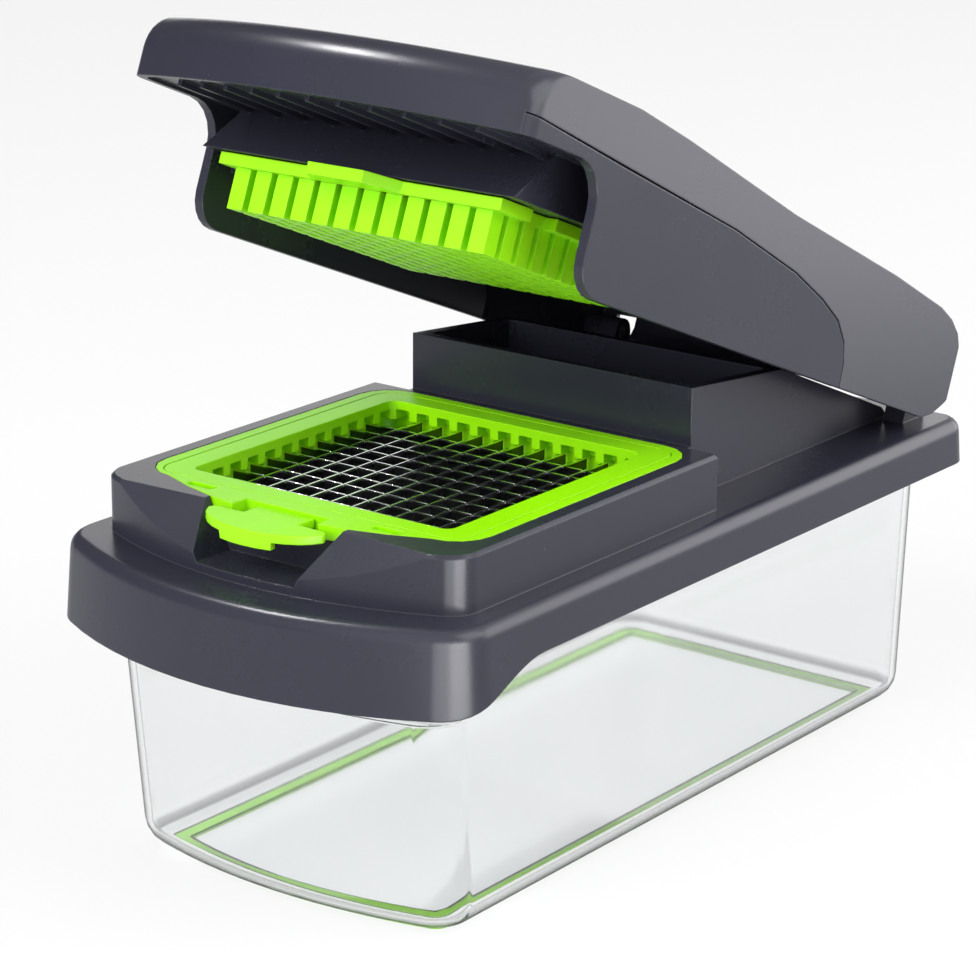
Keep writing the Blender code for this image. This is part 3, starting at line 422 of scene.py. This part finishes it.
def blade_steel_and_painted_light(name, across):
    """Steel painted near black below, as painted shade, and a bright bevel along the upper edge: the
    real sharpened edge with a painted highlight.
    """
    # The strip's steel is painted near black: painted shade of the deep cells between the blades.
    made, tree, shader = steel(name, roughness=0.3, across=across, dark=0.07, bright=0.15)
    place = tree.nodes.new("ShaderNodeTexCoord").outputs["Object"]
    reach = (edge_z - GROUND_START, edge_z - GROUND_FULL)
    ground_and_highlight = add_range(tree, axis_of(tree, place, "Z"), reach, (0.0, 1.0))
    # Along the upper edge the colour turns bright: the real sharpened bevel with a painted highlight on
    # it.
    for socket, keen_and_highlight in (("Base Color", GROUND_STEEL_AND_HIGHLIGHT), ("Roughness", (GROUND_ROUGHNESS,) * 3)):
        rolled_and_shaded = shader.inputs[socket].links[0].from_socket
        tree.links.new(add_blend(tree, ground_and_highlight, rolled_and_shaded, keen_and_highlight), shader.inputs[socket])
    return made


lengthwise_steel = blade_steel_and_painted_light("lengthwise_steel", (1, 0.03, 1))
cross_steel = blade_steel_and_painted_light("cross_steel", (0.03, 1, 1))
for row, steel_and_painted_light in (("lengthwise", lengthwise_steel), ("cross", cross_steel)):
    for number in range(1, 12):
        node = f"{row}_blade_{number:02d}"
        strip = skin_of(node, f"{row}_strip_{number:02d}", steel_and_painted_light)
        round_edges(strip, STRIP_ROUNDING, segments=1, angle=40)
        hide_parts(node)
        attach(strip, "blade_insert")

# --- Lid -------------------------------------------------------------------
# The press lid in two slate mouldings: the body with cheeks and the ribbed
# under side, and the cover that snaps over it as the handle and the back.

LID_ROUNDING = 0.0004
COVER_LEAN = math.radians(9)
LEAN_FROM = 0.6
LEAN_FADE = 0.25


def lean_sides(piece, lean):
    """Shade the sides and their corners as if they leaned in towards the top."""
    normals = []
    for corner in piece.data.corner_normals:
        sideways = min(max((abs(corner.vector.x) - LEAN_FROM) / LEAN_FADE, 0), 1)
        leaning = corner.vector + Vector((0, 0, math.tan(lean) * sideways))
        normals.append(leaning.normalized())
    piece.data.normals_split_custom_set(normals)


for node, name in (("lid_body", "slate_lid_body"), ("lid_cover", "slate_lid_cover")):
    piece = skin_of(node, name, slate_plastic)
    round_edges(piece, LID_ROUNDING)
    if node == "lid_cover":
        lean_sides(piece, COVER_LEAN)
    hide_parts(node)
    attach(piece, "lid")

# --- Pusher ----------------------------------------------------------------
# The lime block of teeth that snaps up under the lid. Each tooth goes down
# between four blades and clears its cell.

PUSHER_ROUNDING = 0.0003

pusher = skin_of("pusher", "lime_pusher", lime_plastic)
round_edges(pusher, PUSHER_ROUNDING)
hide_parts("pusher")
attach(pusher, "pusher")

# --- Floor, light and camera -----------------------------------------------
# A plain white floor and soft studio light, brighter on the right. Small soft
# boxes draw the corner highlights, and the camera stands as for the photograph.

FLOOR_GLOW_SHARE = 0.75
FLOOR_GLOW_MIRRORED = 0.5
DARK_SIDE = (-0.985, -0.174, 0)
DARK_SIDE_FADE = (-0.15, 0.6)
DARK_SIDE_LEVEL = 0.08
DIFFUSE_LEVEL = 0.8
LAMP_AIM = Vector((0, 0, 0.1))

bpy.ops.mesh.primitive_plane_add(size=8)
floor = bpy.context.object
floor.name = "floor"
floor_white, tree, shader = new_material("floor_white")
shader.inputs["Base Color"].default_value = (0.82, 0.82, 0.82, 1)
shader.inputs["Roughness"].default_value = 0.6
shader.inputs["Specular IOR Level"].default_value = 0.2

# The floor glows white to the eye, directly, mirrored and through the box, and
# mirrors at half strength. The share that doesn't glow keeps the shadow.
rays = tree.nodes.new("ShaderNodeLightPath").outputs
only_mirrored = add_math(tree, "GREATER_THAN", rays["Is Glossy Ray"], rays["Is Transmission Ray"])
glow = tree.nodes.new("ShaderNodeEmission")
glow.inputs["Color"].default_value = (1, 1, 1, 1)
glow_strength = add_range(tree, only_mirrored, (0.0, 1.0), (1.0, FLOOR_GLOW_MIRRORED))
tree.links.new(glow_strength, glow.inputs["Strength"])
direct = add_math(tree, "MAXIMUM", rays["Is Camera Ray"], rays["Is Glossy Ray"])
seen = add_math(tree, "MAXIMUM", direct, rays["Is Transmission Ray"])
glow_share = add_math(tree, "MULTIPLY", seen, FLOOR_GLOW_SHARE)
surface = add_shader_blend(tree, glow_share, shader.outputs["BSDF"], glow.outputs["Emission"])
tree.links.new(surface, tree.nodes["Material Output"].inputs["Surface"])
floor.data.materials.append(floor_white)

studio = bpy.data.worlds.new("studio")
bpy.context.scene.world = studio
studio.use_nodes = True
tree = studio.node_tree
rays = tree.nodes.new("ShaderNodeLightPath").outputs
away = tree.nodes.new("ShaderNodeVectorMath")
away.operation = "DOT_PRODUCT"
away.inputs[1].default_value = DARK_SIDE
tree.links.new(tree.nodes.new("ShaderNodeTexCoord").outputs["Generated"], away.inputs[0])
shade = add_range(tree, away.outputs["Value"], DARK_SIDE_FADE, (1.0, DARK_SIDE_LEVEL), smooth=True)
mirrored = add_range(tree, rays["Is Glossy Ray"], (0.0, 1.0), (DIFFUSE_LEVEL, 1.0))
level = add_math(tree, "MULTIPLY", shade, mirrored)
seen = add_math(tree, "MAXIMUM", rays["Is Camera Ray"], rays["Is Transmission Ray"])
strength = add_math(tree, "MAXIMUM", seen, level)
tree.nodes["Background"].inputs["Color"].default_value = (1, 1, 1, 1)
tree.links.new(strength, tree.nodes["Background"].inputs["Strength"])


def soft_box(name, azimuth, height, reach, size, power):
    """A soft box that looks at the object, turned by degrees from the front to the right."""
    lamp = bpy.data.lights.new(name, "AREA")
    lamp.shape = "RECTANGLE"
    lamp.size, lamp.size_y = size
    lamp.energy = power
    stand = bpy.data.objects.new(name, lamp)
    bpy.context.scene.collection.objects.link(stand)
    turn = math.radians(azimuth)
    stand.location = (reach * math.sin(turn), -reach * math.cos(turn), height)
    aim = LAMP_AIM - stand.location
    stand.rotation_euler = aim.to_track_quat("-Z", "Y").to_euler()
    stand.visible_camera = False
    stand.visible_transmission = False
    return stand


soft_box("right", 100, 0.9, 1.1, (1.0, 1.0), 9)
soft_box("rear_right", 148, 0.4, 1.2, (1.2, 0.8), 8)
soft_box("front_fill", -15, 0.8, 1.2, (1.2, 1.2), 22).visible_glossy = False
for name, azimuth, height, reach, size, power in (
    ("corner_right", 58, 0.055, 0.3, (0.13, 0.11), 0.47),
    ("corner_front", 36, 0.06, 0.3, (0.12, 0.12), 0.22),
    ("top_left", -75, 1.14, 0.6, (0.2, 0.12), 7),
    ("bed_top", -141, 0.2, 0.4, (0.4, 0.14), 0.25),
):
    soft_box(name, azimuth, height, reach, size, power).visible_diffuse = False

CAMERA_YAW = math.radians(36.686)
CAMERA_PITCH = math.radians(17.14)
CAMERA_ROLL = math.radians(0.501)
CAMERA_TARGET = Vector((-0.020792, 0.0140, 0.070))
CAMERA_DISTANCE = 0.86415

flat_reach = math.cos(CAMERA_PITCH)
back = Vector(
    (math.sin(CAMERA_YAW) * flat_reach, -math.cos(CAMERA_YAW) * flat_reach, math.sin(CAMERA_PITCH))
)
right = Vector((math.cos(CAMERA_YAW), math.sin(CAMERA_YAW), 0))
up = back.cross(right)
across = right * math.cos(CAMERA_ROLL) + up * math.sin(CAMERA_ROLL)
upward = -right * math.sin(CAMERA_ROLL) + up * math.cos(CAMERA_ROLL)
lens = bpy.data.cameras.new("camera")
lens.lens = 125.085
lens.sensor_width = 36
camera = bpy.data.objects.new("camera", lens)
bpy.context.scene.collection.objects.link(camera)
stand = Matrix((across, upward, back)).transposed().to_4x4()
stand.translation = CAMERA_TARGET + back * CAMERA_DISTANCE
camera.matrix_world = stand
bpy.context.scene.camera = camera
bpy.context.scene.view_settings.view_transform = "Standard"
